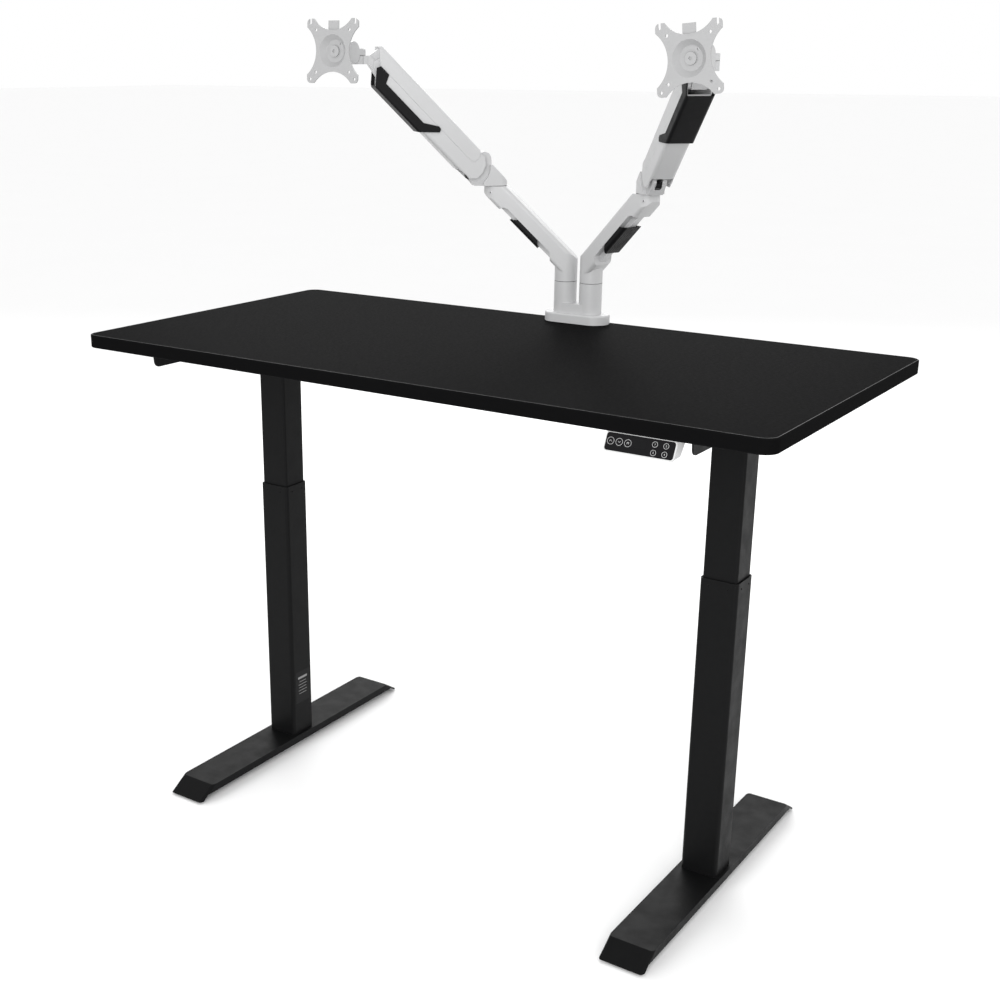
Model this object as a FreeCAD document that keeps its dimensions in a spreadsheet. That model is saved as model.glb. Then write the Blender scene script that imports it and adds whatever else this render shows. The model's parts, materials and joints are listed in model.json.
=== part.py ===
import FreeCAD
import Part

import math
import os

import Sketcher
from FreeCAD import Placement, Rotation, Vector

# Height adjustable standing desk with a two-arm gas spring screen mount clamped to its top.
# Frame: millimetres, +Z up, X along the desk's width (+X is the user's right), +Y to the back.
# The origin lies on the floor, under the middle of the desk top.

DIMENSIONS = {
    # desk top
    "top_width": 1406, "top_across": -3, "top_depth": 700, "top_thick": 25,
    "top_height": 955, "top_corner": 25,
    "top_edge": 2,
    # legs: lifting columns on folded steel feet
    "leg_across": 505, "leg_back": -8, "outer_wide": 71, "outer_deep": 66, "outer_wall": 2,
    "outer_top": 607, "column_round": 7, "inner_wide": 64.6, "inner_deep": 59.6, "inner_wall": 1.5,
    "inner_bottom": 275, "inner_top": 880, "guide_thick": 1.0,
    "foot_wide": 86, "foot_top": 29, "foot_flat": 609, "foot_long": 687, "foot_sheet": 3,
    "foot_flange": 16, "flap_gap": 4, "glide_radius": 14, "glide_along": 262,
    # lift drive
    "spindle_radius": 8, "spindle_bottom": 300, "spindle_top": 908, "post_radius": 16,
    "post_bore": 12, "nut_bottom": 548, "nut_height": 24, "thread_play": 0.08,
    # frame under the top
    "housing_wide": 108, "housing_deep": 200, "housing_bottom": 868, "sheet": 2,
    "bracket_nose": 300, "bracket_drop": 30, "bracket_belly": 46, "bracket_flange": 40,
    "bracket_sheet": 3, "rail_deep": 40, "rail_high": 20, "rail_wall": 2, "rail_apart": 140,
    "rail_top": 920, "box_long": 260, "box_deep": 80, "box_high": 34, "box_across": 70,
    "keypad_wide": 118, "keypad_across": 493, "keypad_face": 32, "keypad_lean": 24.4,
    "keypad_front": -358, "panel_inset": 1.2,
    # arm base and clamp
    "base_across": 8, "base_back": 326, "base_long": 141, "base_deep": 64, "base_high": 19,
    "post_apart": 58, "stem_radius": 23, "stem_top": 80.4, "web_high": 38, "spigot_radius": 9,
    "spigot_high": 30, "clamp_wide": 60, "clamp_sheet": 6, "clamp_mouth": 75, "clamp_reach": 56,
    "screw_radius": 6, "play": 0.06, "seam_gap": 1.0,
    # lower arms
    "lower_reach": 147.3, "lower_rise": 186.2, "bend_outer": 45, "bend_inner": 32,
    "web_half": 8, "web_deep": 3.2, "recess_deep": 13, "recess_start": 12, "recess_end": 158,
    "clip_start": 48, "clip_end": 128, "elbow_spigot": 8, "elbow_pin_high": 18,
    # upper arms: a parallelogram of channel and link between elbow bracket and end bracket
    "arm_long": 250, "elbow_out": 53.7, "elbow_up": 34.9, "arm_wide": 46, "arm_wall": 2.5,
    "part_line": 8, "cover_top": 36.8, "channel_floor": 21.5, "arm_end": 268, "floor_end": 244,
    "tongue_half": 14, "slot_half": 6, "pin_radius": 4, "link_up": 16, "link_pin": 3,
    "spring_out": 3, "spring_down": 14, "spring_tail": 205, "spring_tail_down": 9,
    "tube_radius": 8, "tube_bore": 6.9, "rod_radius": 4, "rod_eye": 7.5, "rod_eye_bore": 5.2,
    "rod_pin": 2.5, "clip_drop": 27.4, "clip_wall": 2.4, "clip_gap": 0.4,
    # heads
    "tip_out": 49, "tip_up": 36.9, "tip_radius": 17, "tip_below": 15.7, "tip_above": 12.5,
    "tip_spigot": 6, "tip_pin_high": 9.5, "tilt_out": 34.3, "tilt_up": 5.5, "ear_radius": 20,
    "ear_inner": 13, "ear_outer": 17, "tilt_pin": 4, "plate_out": 48, "plate_sheet": 3,
    "plate_size": 115, "plate_waist": 37, "vesa_small": 75, "vesa_large": 100, "vesa_hole": 2.6,
    "dish_radius": 29.5, "dish_floor": 20, "dish_deep": 9, "hub_radius": 10.5, "hub_shoulder": 6,
}

# Rest pose of each arm, in degrees: plan direction of the lower and the upper arm (from +X),
# pitch of the upper arm, plan direction that the screen plate faces, its tilt and its roll.
ARMS = {
    "left": {"post": -1, "lower": 203.8, "upper": 227.8, "pitch": 44.7, "face": -86.1,
             "tilt": -3.2, "roll": 0.0},
    "right": {"post": 1, "lower": -18.4, "upper": -45.9, "pitch": 41.8, "face": -89.3,
              "tilt": 1.7, "roll": 4.6},
}

doc = FreeCAD.newDocument("StandingDesk")
sheet = doc.addObject("Spreadsheet::Sheet", "Dims")


class Dim:
    """A length that carries both its number and the spreadsheet expression it comes from."""

    def __init__(self, value, text):
        self.value = value
        self.text = text

    def _join(self, sign, other, value, swap=False):
        first, second = (text_of(other), self.text) if swap else (self.text, text_of(other))
        return Dim(value, f"({first} {sign} {second})")

    def __add__(self, other):
        return self._join("+", other, self.value + number(other))

    def __radd__(self, other):
        return self._join("+", other, number(other) + self.value, True)

    def __sub__(self, other):
        return self._join("-", other, self.value - number(other))

    def __rsub__(self, other):
        return self._join("-", other, number(other) - self.value, True)

    def __mul__(self, other):
        return self._join("*", other, self.value * number(other))

    def __rmul__(self, other):
        return self._join("*", other, number(other) * self.value, True)

    def __truediv__(self, other):
        return self._join("/", other, self.value / number(other))

    def __neg__(self):
        return Dim(-self.value, f"(0 - {self.text})")


def number(value):
    return value.value if isinstance(value, Dim) else float(value)


def text_of(value):
    return value.text if isinstance(value, Dim) else f"{float(value)!r}"


def fill_sheet():
    """One row per driving dimension, each with its name as the cell's alias."""
    for row, (name, value) in enumerate(DIMENSIONS.items(), start=1):
        sheet.set(f"A{row}", name)
        sheet.set(f"B{row}", str(value))
        sheet.setAlias(f"B{row}", name)
    doc.recompute()
    return {name: Dim(float(sheet.get(name)), f"Dims.{name}") for name in DIMENSIONS}


D = fill_sheet()


def bind(obj, prop, value):
    """Sets a property from a number or a Dim; a Dim stays bound to the sheet."""
    if isinstance(value, Dim):
        obj.setExpression(prop, value.text)
    else:
        setattr(obj, prop, value)


def point(values):
    return Vector(*[number(v) for v in values])


def place(obj, pos=(0, 0, 0), rotation=None):
    obj.Placement = Placement(point(pos), rotation or Rotation())
    return obj


AXES = {
    "x": Rotation(Vector(0, 1, 0), 90),
    "y": Rotation(Vector(1, 0, 0), -90),
    "z": Rotation(),
}
# A profile drawn in (first, second) coordinates stands in one of these planes.
PLANES = {
    "XY": Rotation(),
    "XZ": Rotation(Vector(1, 0, 0), 90),
    "YZ": Rotation(Vector(1, 1, 1), 120),
}


# ---------------------------------------------------------------- Part primitives and booleans

def box(low, size):
    obj = doc.addObject("Part::Box", "Block")
    for prop, value in zip(("Length", "Width", "Height"), size):
        bind(obj, prop, value)
    return place(obj, low)


def cylinder(radius, height, base, axis="z"):
    obj = doc.addObject("Part::Cylinder", "Round")
    bind(obj, "Radius", radius)
    bind(obj, "Height", height)
    return place(obj, base, AXES[axis])


def cone(radius_low, radius_high, height, base, axis="z"):
    obj = doc.addObject("Part::Cone", "Taper")
    bind(obj, "Radius1", radius_low)
    bind(obj, "Radius2", radius_high)
    bind(obj, "Height", height)
    return place(obj, base, AXES[axis])


def constrain_points(sketch, corners):
    """Fixes each corner of a closed chain of lines at its bound coordinates."""
    for index, (across, up) in enumerate(corners):
        for kind, value in (("DistanceX", across), ("DistanceY", up)):
            if abs(number(value)) < 1e-9:
                on_axis = -2 if kind == "DistanceX" else -1
                sketch.addConstraint(Sketcher.Constraint("PointOnObject", index, 1, on_axis))
                continue
            key = sketch.addConstraint(
                Sketcher.Constraint(kind, -1, 1, index, 1, number(value)))
            if isinstance(value, Dim):
                sketch.setExpression(f"Constraints[{key}]", value.text)


def draw_outline(sketch, corners):
    """Closed polygon through the corners."""
    spots = [Vector(number(a), number(b), 0) for a, b in corners]
    count = len(spots)
    for index in range(count):
        sketch.addGeometry(Part.LineSegment(spots[index], spots[(index + 1) % count]), False)
    for index in range(count):
        sketch.addConstraint(
            Sketcher.Constraint("Coincident", index, 2, (index + 1) % count, 1))
    constrain_points(sketch, corners)


def prism(corners, length, plane="XZ", start=None, pos=(0, 0, 0)):
    """Polygon extruded along the plane's normal: both ways from the plane, or from start."""
    sketch = doc.addObject("Sketcher::SketchObject", "Profile")
    draw_outline(sketch, corners)
    shift = Vector() if start is None else PLANES[plane].multVec(Vector(0, 0, number(start)))
    sketch.Placement = Placement(point(pos) + shift, PLANES[plane])
    obj = doc.addObject("Part::Extrusion", "Prism")
    obj.Base = sketch
    obj.DirMode = "Normal"
    obj.Solid = True
    obj.Symmetric = start is None
    bind(obj, "LengthFwd", length)
    return obj


def mirrored_pair(make):
    """Two solids from make(side), side -1 and +1."""
    return [make(-1), make(1)]


def fuse(*shapes):
    obj = doc.addObject("Part::MultiFuse", "Joined")
    obj.Shapes = list(shapes)
    obj.Refine = True
    return obj


def cut(base, *tools):
    obj = doc.addObject("Part::Cut", "Cut")
    obj.Base = base
    obj.Tool = tools[0] if len(tools) == 1 else fuse(*tools)
    obj.Refine = True
    return obj


def common(*shapes):
    obj = doc.addObject("Part::MultiCommon", "Common")
    obj.Shapes = list(shapes)
    obj.Refine = True
    return obj


def rounded(base, chosen, radius):
    """Fillets the edges of base for which chosen(edge) is true."""
    doc.recompute()
    obj = doc.addObject("Part::Fillet", "Rounded")
    obj.Base = base
    size = number(radius)
    obj.Edges = [(index, size, size) for index, edge in enumerate(base.Shape.Edges, start=1)
                 if chosen(edge)]
    return obj


def group(*shapes):
    """Separate solids of one kind, kept as one node."""
    obj = doc.addObject("Part::Compound", "Group")
    obj.Links = list(shapes)
    return obj


def is_line_along(edge, axis, tolerance=1e-3):
    if not isinstance(edge.Curve, Part.Line):
        return False
    along = edge.Curve.Direction
    return abs(abs(along.dot(axis)) - 1) < tolerance


X_AXIS, Y_AXIS, Z_AXIS = Vector(1, 0, 0), Vector(0, 1, 0), Vector(0, 0, 1)


# ---------------------------------------------------------------- PartDesign bodies

def new_body():
    return doc.addObject("PartDesign::Body", "Body")


def body_sketch(body, plane="XY_Plane", height=0):
    """Sketch on one of the body's own origin planes, moved along the plane's normal."""
    sketch = body.newObject("Sketcher::SketchObject", "Sketch")
    origin = next(f for f in body.Origin.OriginFeatures if f.Role == plane)
    sketch.AttachmentSupport = [(origin, "")]
    sketch.MapMode = "FlatFace"
    sketch.AttachmentOffset = Placement(Vector(0, 0, number(height)), Rotation())
    if isinstance(height, Dim):
        sketch.setExpression(".AttachmentOffset.Base.z", height.text)
    return sketch


def rectangle(sketch, wide, deep, middle=(0, 0)):
    across, back = middle
    draw_outline(sketch, [
        (across - wide / 2, back - deep / 2), (across + wide / 2, back - deep / 2),
        (across + wide / 2, back + deep / 2), (across - wide / 2, back + deep / 2)])


def circles(sketch, spots, radius):
    """Equal circles, each centre fixed and each radius bound."""
    for across, back in spots:
        index = sketch.addGeometry(
            Part.Circle(Vector(number(across), number(back), 0), Z_AXIS, number(radius)), False)
        for kind, value in (("DistanceX", across), ("DistanceY", back)):
            if abs(number(value)) < 1e-9:
                on_axis = -2 if kind == "DistanceX" else -1
                sketch.addConstraint(Sketcher.Constraint("PointOnObject", index, 3, on_axis))
                continue
            key = sketch.addConstraint(
                Sketcher.Constraint(kind, -1, 1, index, 3, number(value)))
            if isinstance(value, Dim):
                sketch.setExpression(f"Constraints[{key}]", value.text)
        key = sketch.addConstraint(Sketcher.Constraint("Radius", index, number(radius)))
        if isinstance(radius, Dim):
            sketch.setExpression(f"Constraints[{key}]", radius.text)


def pad(body, sketch, length, backwards=False):
    feature = body.newObject("PartDesign::Pad", "Pad")
    feature.Profile = sketch
    bind(feature, "Length", length)
    feature.Reversed = backwards
    return feature


def pocket(body, sketch, length, backwards=False):
    feature = body.newObject("PartDesign::Pocket", "Pocket")
    feature.Profile = sketch
    bind(feature, "Length", length)
    feature.Reversed = backwards
    return feature


def fillet(body, chosen, radius):
    """PartDesign fillet on the edges of the body's tip for which chosen(edge) is true."""
    doc.recompute()
    tip = body.Tip
    names = [f"Edge{i}" for i, e in enumerate(tip.Shape.Edges, start=1) if chosen(e)]
    feature = body.newObject("PartDesign::Fillet", "Fillet")
    feature.Base = (tip, names)
    bind(feature, "Radius", radius)
    return feature


# ---------------------------------------------------------------- the list of nodes

nodes = {}


def node(name, obj, placement=None):
    """Labels the sub-part and puts it in its place in the desk's frame."""
    obj.Label = name
    if placement is not None:
        obj.Placement = placement
    nodes[name] = obj
    return obj


SIDES = (("left", -1), ("right", 1))


# ---------------------------------------------------------------- feet and columns

def foot(side):
    """Folded steel foot: flat top, slanted end flaps and shallow side flanges."""
    flat, long, top = D["foot_flat"] / 2, D["foot_long"] / 2, D["foot_top"]
    steel, wide = D["foot_sheet"], D["foot_wide"]
    outer = prism([(-long, D["flap_gap"]), (long, D["flap_gap"]), (flat, top), (-flat, top)],
                  wide, "YZ")
    outer = rounded(outer, lambda e: e.BoundBox.ZLength > 5 and e.BoundBox.XLength < 1, 6)
    inner = [(-long + steel, 0), (long - steel, 0), (flat - steel, top - steel),
             (-flat + steel, top - steel)]
    hollow = prism(inner, wide - 2 * steel, "YZ")
    below = common(prism(inner, wide + 2, "YZ"),
                   box((-60, -400, 0), (120, 800, top - D["foot_flange"])))
    holes = [cylinder(3.3, 12, (sx * 22, sy * 20, 20)) for sx in (-1, 1) for sy in (-1, 1)]
    return cut(outer, hollow, below, *holes), leg_place(side)


def leg_place(side, height=0):
    return Placement(
        Vector(side * DIMENSIONS["leg_across"], DIMENSIONS["leg_back"], number(height)),
        Rotation())


def rounded_bar(wide, deep, bottom, top, corner):
    """Upright bar with rounded vertical edges."""
    bar = box((-wide / 2, -deep / 2, bottom), (wide, deep, top - bottom))
    return rounded(bar, lambda e: is_line_along(e, Z_AXIS), corner)


def tube_body(wide, deep, wall, bottom, top, corner):
    """Rectangular steel tube with rounded corners."""
    outer = rounded_bar(wide, deep, bottom, top, corner)
    inner = rounded_bar(wide - 2 * wall, deep - 2 * wall, bottom, top, corner - wall)
    return cut(outer, inner)


def outer_column():
    """Lower, wider column with a welded base plate inside, which the foot screws hold."""
    wall = D["outer_wall"]
    tube = tube_body(D["outer_wide"], D["outer_deep"], wall, D["foot_top"], D["outer_top"],
                     D["column_round"])
    plate = box((-D["outer_wide"] / 2 + wall, -D["outer_deep"] / 2 + wall + 6, D["foot_top"]),
                (D["outer_wide"] - 2 * wall, D["outer_deep"] - 2 * wall - 12, 8))
    holes = [cylinder(3.1, 12, (sx * 22, sy * 20, 28)) for sx in (-1, 1) for sy in (-1, 1)]
    dimples = [cylinder(2.2, 1.2, (D["outer_wide"] / 2 - 1, y, 595), "x") for y in (-16, 16)]
    dimples += [cylinder(2.2, 1.2, (x, -D["outer_deep"] / 2 - 0.2, 595), "y") for x in (-18, 18)]
    return cut(fuse(tube, plate), *holes, *dimples)


def inner_column():
    """Upper, narrower column, closed at its top by the plate that carries the gearbox."""
    wall = D["inner_wall"]
    tube = tube_body(D["inner_wide"], D["inner_deep"], wall, D["inner_bottom"], D["inner_top"],
                     D["column_round"] - 2)
    lid = box((-D["inner_wide"] / 2 + wall, -D["inner_deep"] / 2 + wall + 5, D["inner_top"] - 4),
              (D["inner_wide"] - 2 * wall, D["inner_deep"] - 2 * wall - 10, 4))
    return cut(fuse(tube, lid), cylinder(D["spindle_radius"] + 3, 8, (0, 0, D["inner_top"] - 6)))


def column_guides():
    """Plastic strips at the mouth of each outer column, on which the inner column slides."""
    thick, high = D["guide_thick"], 60
    low = D["outer_top"] - 2 - high
    strips = []
    for _, side in SIDES:
        x = side * D["leg_across"]
        y = D["leg_back"]
        for way in (-1, 1):
            face_x = way * (D["outer_wide"] / 2 - D["outer_wall"] - thick / 2) - thick / 2
            face_y = way * (D["outer_deep"] / 2 - D["outer_wall"] - thick / 2) - thick / 2
            strips.append(box((x + face_x, y - 20, low), (thick, 40, high)))
            strips.append(box((x - 22, y + face_y, low), (44, thick, high)))
    return group(*strips)


def nut_posts():
    """Tubes that stand on the feet and hold the spindle nuts up inside the columns."""
    posts = []
    for _, side in SIDES:
        x, y = side * D["leg_across"], D["leg_back"]
        floor = D["foot_top"] + 8
        tube = fuse(cylinder(D["post_radius"], D["nut_bottom"] - floor, (x, y, floor)),
                    cylinder(24, 6, (x, y, floor)))
        posts.append(cut(tube, cylinder(D["post_bore"], 560, (x, y, floor - 1))))
    return group(*posts)


def spindle_nuts():
    nuts = []
    for _, side in SIDES:
        x, y = side * D["leg_across"], D["leg_back"]
        outer = cylinder(D["post_radius"], D["nut_height"], (x, y, D["nut_bottom"]))
        bore = cylinder(D["spindle_radius"] + D["thread_play"], 30, (x, y, D["nut_bottom"] - 1))
        nuts.append(cut(outer, bore))
    return group(*nuts)


def spindle():
    """Lead screw with a two-start thread, cut as rings, and a plain journal at its top."""
    body = new_body()
    sketch = body_sketch(body, "XY_Plane", D["spindle_bottom"])
    circles(sketch, [(0, 0)], D["spindle_radius"])
    pad(body, sketch, D["spindle_top"] - D["spindle_bottom"])
    doc.recompute()
    rings = []
    pitch = 16
    for step in range(34):
        z = D["spindle_bottom"] + 12 + step * pitch
        rings.append(cut(cylinder(9.5, 2, (0, 0, z)), cylinder(7.2, 2, (0, 0, z))))
    return cut(body, *rings)


def foot_screws():
    """Screws from below each foot into the base plate of its column."""
    screws = []
    for _, side in SIDES:
        for sx in (-1, 1):
            for sy in (-1, 1):
                x = side * D["leg_across"] + sx * 22
                y = D["leg_back"] + sy * 20
                screws.append(fuse(cylinder(6, 4, (x, y, D["foot_top"] - D["foot_sheet"] - 4)),
                                   cylinder(3, 14, (x, y, D["foot_top"] - D["foot_sheet"]))))
    return group(*screws)


def levelling_glides():
    """Threaded stud with a low pad under each end of each foot."""
    glides = []
    for _, side in SIDES:
        for way in (-1, 1):
            x = side * D["leg_across"]
            y = D["leg_back"] + way * D["glide_along"]
            glides.append(fuse(
                cone(D["glide_radius"], D["glide_radius"] - 2, 7, (x, y, 0)),
                cylinder(4, D["foot_top"] - 5, (x, y, 2)),
                cylinder(8, 5, (x, y, D["foot_top"] - D["foot_sheet"] - 5))))
    return group(*glides)


# ---------------------------------------------------------------- lift drive and frame

def motor_housing(side):
    """Steel trough round the column's top, the motor and the gearbox."""
    wide, deep, low = D["housing_wide"], D["housing_deep"], D["housing_bottom"]
    high = D["top_height"] - D["top_thick"] - low
    outer = box((-wide / 2, -deep / 2, low), (wide, deep, high))
    outer = rounded(outer, lambda e: is_line_along(e, Y_AXIS) and e.CenterOfMass.z < 880, 6)
    inner = box((-wide / 2 + D["sheet"], -deep / 2 + D["sheet"], low + D["sheet"]),
                (wide - 2 * D["sheet"], deep - 2 * D["sheet"], high))
    hole = box((-D["inner_wide"] / 2 - 0.4, -D["inner_deep"] / 2 - 0.4, low - 1),
               (D["inner_wide"] + 0.8, D["inner_deep"] + 0.8, 10))
    return cut(outer, inner, hole)


def drive_unit():
    """Gearbox over the column with the motor lying along the desk's depth behind it."""
    floor = D["inner_top"]
    gearbox = box((-28, -28, floor), (56, 56, 40))
    gearbox = rounded(gearbox, lambda e: is_line_along(e, Z_AXIS), 8)
    motor = cylinder(18, 64, (0, 26, floor + 21), "y")
    cap = cylinder(10, 4, (0, 90, floor + 21), "y")
    bore = cylinder(D["spindle_radius"] + D["thread_play"], 30, (0, 0, floor - 1))
    return cut(fuse(gearbox, motor, cap), bore)


def side_bracket(side):
    """Flanged steel bracket that carries the top beside the leg, with a narrow nose."""
    under = D["top_height"] - D["top_thick"]
    nose, drop, belly = D["bracket_nose"], D["bracket_drop"], D["bracket_belly"]
    steel = D["bracket_sheet"]
    web = prism([(-nose - 5, under), (-nose - 2, under - drop), (-nose + 150, under - drop),
                 (-nose + 200, under - belly), (nose - 200, under - belly),
                 (nose - 150, under - drop), (nose + 2, under - drop), (nose + 5, under)],
                steel, "YZ", 0)
    web = rounded(web, lambda e: is_line_along(e, X_AXIS) and e.CenterOfMass.z < 901
                  and abs(e.CenterOfMass.y) > 290, 12)
    clear = D["housing_deep"] / 2 + 4
    flanges = [box((-D["bracket_flange"] if side > 0 else 0, low, under - steel),
                   (D["bracket_flange"] + steel, nose - 30 - clear, steel))
               for low in (-nose + 30, clear)]
    holes = [cylinder(2.8, 8, (-side * 24 + 1.5, y, under - 6)) for y in (-240, 240)]
    return cut(fuse(web, *flanges), *holes)


def rail_tube(back):
    long = 2 * (D["leg_across"] - D["housing_wide"] / 2)
    deep, high, wall = D["rail_deep"], D["rail_high"], D["rail_wall"]
    middle = D["leg_back"] + back * D["rail_apart"] / 2
    outer = box((-long / 2, middle - deep / 2, D["rail_top"] - high), (long, deep, high))
    inner = box((-long / 2 - 1, middle - deep / 2 + wall, D["rail_top"] - high + wall),
                (long + 2, deep - 2 * wall, high - 2 * wall))
    return cut(outer, inner)


def cross_rails():
    return group(*mirrored_pair(rail_tube))


def control_box():
    """Power supply and motor controller, with its mains inlet and cable ports at one end."""
    long, deep, high = D["box_long"], D["box_deep"], D["box_high"]
    under = D["top_height"] - D["top_thick"]
    low_x = D["box_across"] - long / 2
    shell = box((low_x, -deep / 2 - 8, under - high), (long, deep, high))
    shell = rounded(shell, lambda e: is_line_along(e, X_AXIS) and e.CenterOfMass.z < 910, 4)
    inlet = box((low_x - 1, -40, under - 25), (15, 22, 14))
    ports = [box((low_x - 1, -8 + step * 15, under - 24), (13, 11, 12)) for step in range(2)]
    return cut(shell, inlet, *ports)


def face_slab(wide, high, front, back, corner):
    """Slab parallel to the keypad's face, between two depths behind it, with round corners."""
    slab = box((-wide / 2, -high / 2, -back), (wide, high, back - front))
    slab = rounded(slab, lambda e: is_line_along(e, Z_AXIS), corner)
    lean = math.radians(DIMENSIONS["keypad_lean"])
    run = DIMENSIONS["keypad_face"] / 2 * math.sin(lean)
    fall = DIMENSIONS["keypad_face"] / 2 * math.cos(lean)
    slab.Placement = Placement(
        Vector(DIMENSIONS["keypad_across"], DIMENSIONS["keypad_front"] + run,
               DIMENSIONS["top_height"] - DIMENSIONS["top_thick"] - fall),
        Rotation(X_AXIS, 90 - DIMENSIONS["keypad_lean"]))
    return slab


def keypad_housing():
    """White moulding under the front edge: its face leans, lower edge forward."""
    under, front = D["top_height"] - D["top_thick"], D["keypad_front"]
    lean = math.radians(DIMENSIONS["keypad_lean"])
    run, fall = D["keypad_face"] * math.sin(lean), D["keypad_face"] * math.cos(lean)
    section = [(front + run + 1.5, under), (front + 2.2, under - fall + 0.2),
               (front + 24, under - fall + 1.5), (front + run + 32, under)]
    wide = D["keypad_wide"]
    back = prism(section, wide - 1, "YZ", D["keypad_across"] - (wide - 1) / 2)
    back = rounded(back, lambda e: e.CenterOfMass.z < 905 and not is_line_along(e, X_AXIS)
                   and not is_line_along(e, Y_AXIS) and e.Length < 25 and e.Length > 15, 3)
    plate = face_slab(wide, D["keypad_face"], 0, D["panel_inset"] * 3, 6)
    recess = face_slab(wide - 4, D["keypad_face"] - 4, -3, D["panel_inset"], 4.5)
    return cut(fuse(back, plate), recess)


def keypad_panel():
    """Glossy touch panel let into the keypad's face: its keys have no travel."""
    return face_slab(D["keypad_wide"] - 4.4, D["keypad_face"] - 4.4, 0.1,
                     D["panel_inset"], 4.3)


TOP_SCREWS = [(sx * (505 + 54 - 24 + 1.5), sy * 240 - 8) for sx in (-1, 1) for sy in (-1, 1)]


def frame_screws():
    """Wood screws through the side brackets into the top."""
    under = D["top_height"] - D["top_thick"]
    return group(*[fuse(cylinder(5, 3, (x, y, under - 6)), cylinder(2.4, 17, (x, y, under - 3)))
                   for x, y in TOP_SCREWS])


def desktop():
    """Board with rounded corners, softened edges and pilot holes for the frame screws."""
    body = new_body()
    under = D["top_height"] - D["top_thick"]
    board = body_sketch(body, "XY_Plane", under)
    rectangle(board, D["top_width"], D["top_depth"], (D["top_across"], 0))
    pad(body, board, D["top_thick"])
    fillet(body, lambda e: is_line_along(e, Z_AXIS), D["top_corner"])
    fillet(body, lambda e: e.BoundBox.ZLength < 0.01, D["top_edge"])
    doc.recompute()
    pilots = body_sketch(body, "XY_Plane", under)
    circles(pilots, TOP_SCREWS, 2.5)
    pocket(body, pilots, 15, True)
    return body


# ---------------------------------------------------------------- arm base and clamp

def stadium(long, deep, high, low=0):
    """Block with half-round ends, along X."""
    radius = deep / 2
    run = long / 2 - radius
    return fuse(box((-run, -radius, low), (run * 2, deep, high)),
                cylinder(radius, high, (-run, 0, low)), cylinder(radius, high, (run, 0, low)))


def arm_base():
    """Cast foot with two posts; each post ends in the spigot that an arm turns on."""
    flange = stadium(D["base_long"], D["base_deep"], D["base_high"])
    flange = rounded(flange, lambda e: e.BoundBox.ZLength < 0.01
                     and abs(e.CenterOfMass.z - 19) < 0.1, 4)
    half = D["post_apart"] / 2
    posts = [cylinder(D["stem_radius"], D["stem_top"], (way * half, 0, 0)) for way in (-1, 1)]
    web = box((-half, -D["stem_radius"] + 0.5, 0), (half * 2, D["stem_radius"] * 2 - 1,
                                                    D["web_high"]))
    spigots = [cylinder(D["spigot_radius"], D["spigot_high"],
                        (way * half, 0, D["stem_top"])) for way in (-1, 1)]
    return fuse(flange, web, *posts, *spigots)


def clamp_bracket():
    """Angle bracket behind and under the top, with a threaded boss for the clamp screw."""
    steel, mouth = D["clamp_sheet"], D["clamp_mouth"]
    edge = D["top_depth"] / 2 - D["base_back"] + 0.3
    section = [(edge, 0), (edge, -mouth), (edge - D["clamp_reach"], -mouth),
               (edge - D["clamp_reach"], -mouth - steel), (edge + steel, -mouth - steel),
               (edge + steel, 0)]
    plate = prism(section, D["clamp_wide"], "YZ")
    boss = cylinder(12, 16, (0, -8, -mouth - steel - 6))
    bore = cylinder(D["screw_radius"] + D["play"], 40, (0, -8, -mouth - 20))
    return cut(fuse(plate, boss), bore)


def clamp_pad():
    """Round pressure plate under the top, with a socket for the screw's tip."""
    top = -D["top_thick"] - 0.1
    disc = fuse(cylinder(20, 4.5, (0, -8, top - 4.5)), cylinder(10, 9, (0, -8, top - 13.5)))
    return cut(disc, cylinder(D["screw_radius"] + D["play"], 7, (0, -8, top - 14)))


def clamp_screw():
    """Clamp screw with a sliding-bar grip at its lower end."""
    tip = -D["top_thick"] - 0.1 - 7.1
    shaft = cylinder(D["screw_radius"], 98, (0, -8, tip - 98))
    hub = cylinder(10, 16, (0, -8, tip - 106))
    bar = cylinder(3.5, 90, (-45, -8, tip - 98), "x")
    ends = [cylinder(5.5, 8, (way * 45 - 4, -8, tip - 98), "x") for way in (-1, 1)]
    return fuse(shaft, hub, bar, *ends)


# ---------------------------------------------------------------- lower arms

def lower_arm():
    """Casting that turns on a post: a stem, a 45 degree incline and the elbow boss."""
    r, reach, rise = D["stem_radius"], D["lower_reach"], D["lower_rise"]
    gap = D["seam_gap"]
    slope = (DIMENSIONS["lower_rise"] - DIMENSIONS["bend_outer"]) / DIMENSIONS["lower_reach"]
    outer_x = reach - r
    inner_z = D["bend_inner"] + slope * reach
    top = [(reach + r, rise), (outer_x, rise), (-r, D["bend_outer"])]
    incline = prism([(0, D["bend_inner"] - slope * r), (reach + r, inner_z), *top], r * 2)
    incline = rounded(incline, lambda e: not is_line_along(e, Y_AXIS) and
                      e.BoundBox.ZLength > 100 and e.BoundBox.XLength > 100, 7)
    plan = fuse(box((0, -r, 0), (reach, r * 2, rise + 1)), cylinder(r, rise + 1, (0, 0, 0)),
                cylinder(r, rise + 1, (reach, 0, 0)))
    stem_view = prism([(-r, gap), (r, gap), (r, D["bend_inner"] + 10), (-r, D["bend_outer"])],
                      r * 2)
    stem = common(stem_view, cylinder(r, rise, (0, 0, 0)))
    body = fuse(stem, common(incline, plan))
    bore = cylinder(D["spigot_radius"] + D["play"], D["spigot_high"] + 1, (0, 0, -0.1))
    pin = cylinder(D["elbow_spigot"], D["elbow_pin_high"], (reach, 0, rise))
    return fuse(cut(body, bore, incline_recess(slope)), pin)


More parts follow.
